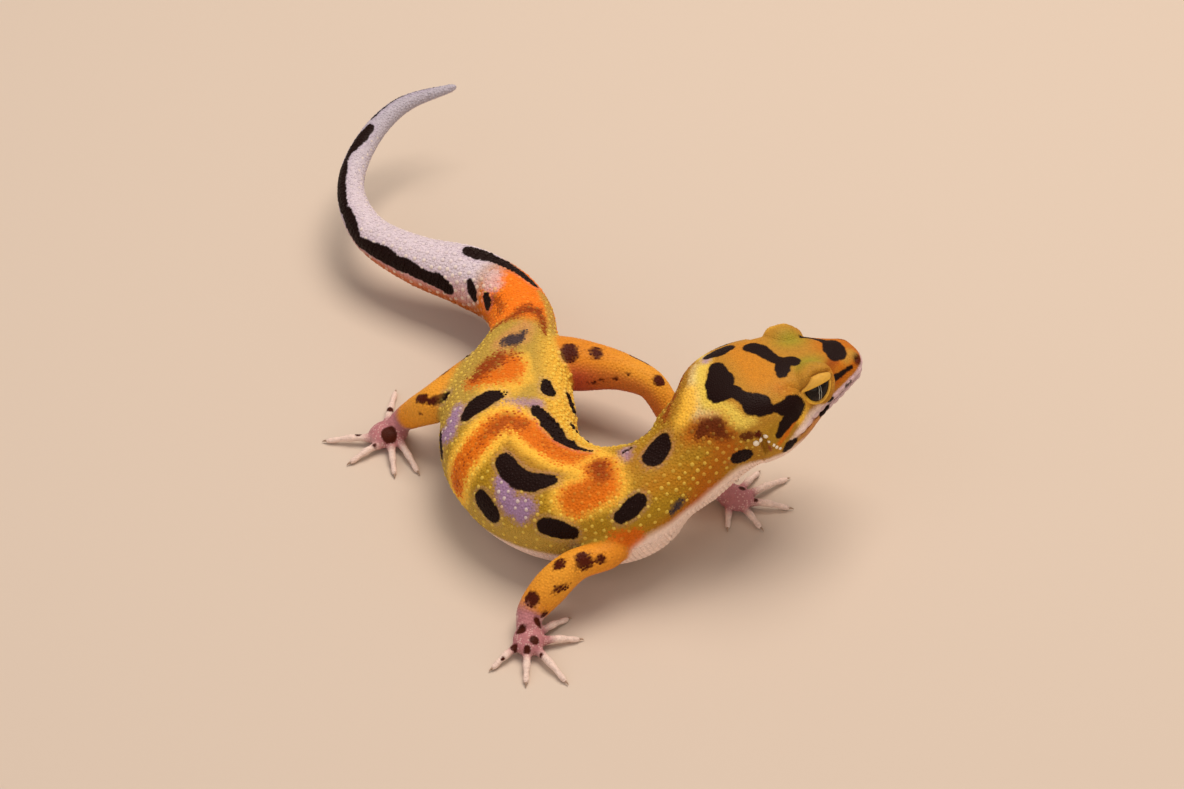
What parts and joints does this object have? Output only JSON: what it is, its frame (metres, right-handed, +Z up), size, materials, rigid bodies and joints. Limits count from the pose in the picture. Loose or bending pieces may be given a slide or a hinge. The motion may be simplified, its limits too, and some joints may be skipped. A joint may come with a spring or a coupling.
{
  "type": "leopard gecko model",
  "caption": "Still life-size model of a young leopard gecko on its four feet, trunk bent in a U, head raised, tail curled up.",
  "frame": {"origin": "on the floor under the middle of the animal's bounding box", "axes": "+Z up; the head looks towards +X and a little +Y; the tail's tip is towards +Y"},
  "size_m": [0.0804, 0.122, 0.03],
  "materials": {
    "skin_head": "finely granular skin, yellow-orange with dark spots, satin",
    "skin_body": "granular skin with pale raised tubercles, olive-yellow with dark and rust spots",
    "skin_tail": "ringed small scales, pale lilac-white with black bars and an orange base",
    "skin_limbs": "granular skin, orange with small dark spots, pink underneath",
    "skin_feet": "fine scaled skin, pink-lilac with dark flecks",
    "eye": "wet gloss, dark grey-brown iris with a silvery vertical slit",
    "claw": "small horny claws, satin"
  },
  "bodies": {
    "root": {"head": "skin_head", "jaw_lower": "skin_head", "eye_left": "eye", "eye_right": "eye", "neck": "skin_body", "trunk_chest": "skin_body", "trunk_belly": "skin_body", "trunk_flank": "skin_body", "trunk_hips": "skin_body", "tail_base": "skin_tail", "tail_middle": "skin_tail", "tail_end": "skin_tail", "upper_arm_left": "skin_limbs", "forearm_left": "skin_limbs", "hand_left": "skin_feet", "upper_arm_right": "skin_limbs", "forearm_right": "skin_limbs", "hand_right": "skin_feet", "thigh_left": "skin_limbs", "shank_left": "skin_limbs", "foot_left": "skin_feet", "thigh_right": "skin_limbs", "shank_right": "skin_limbs", "foot_right": "skin_feet"}
  },
  "joints": []
}
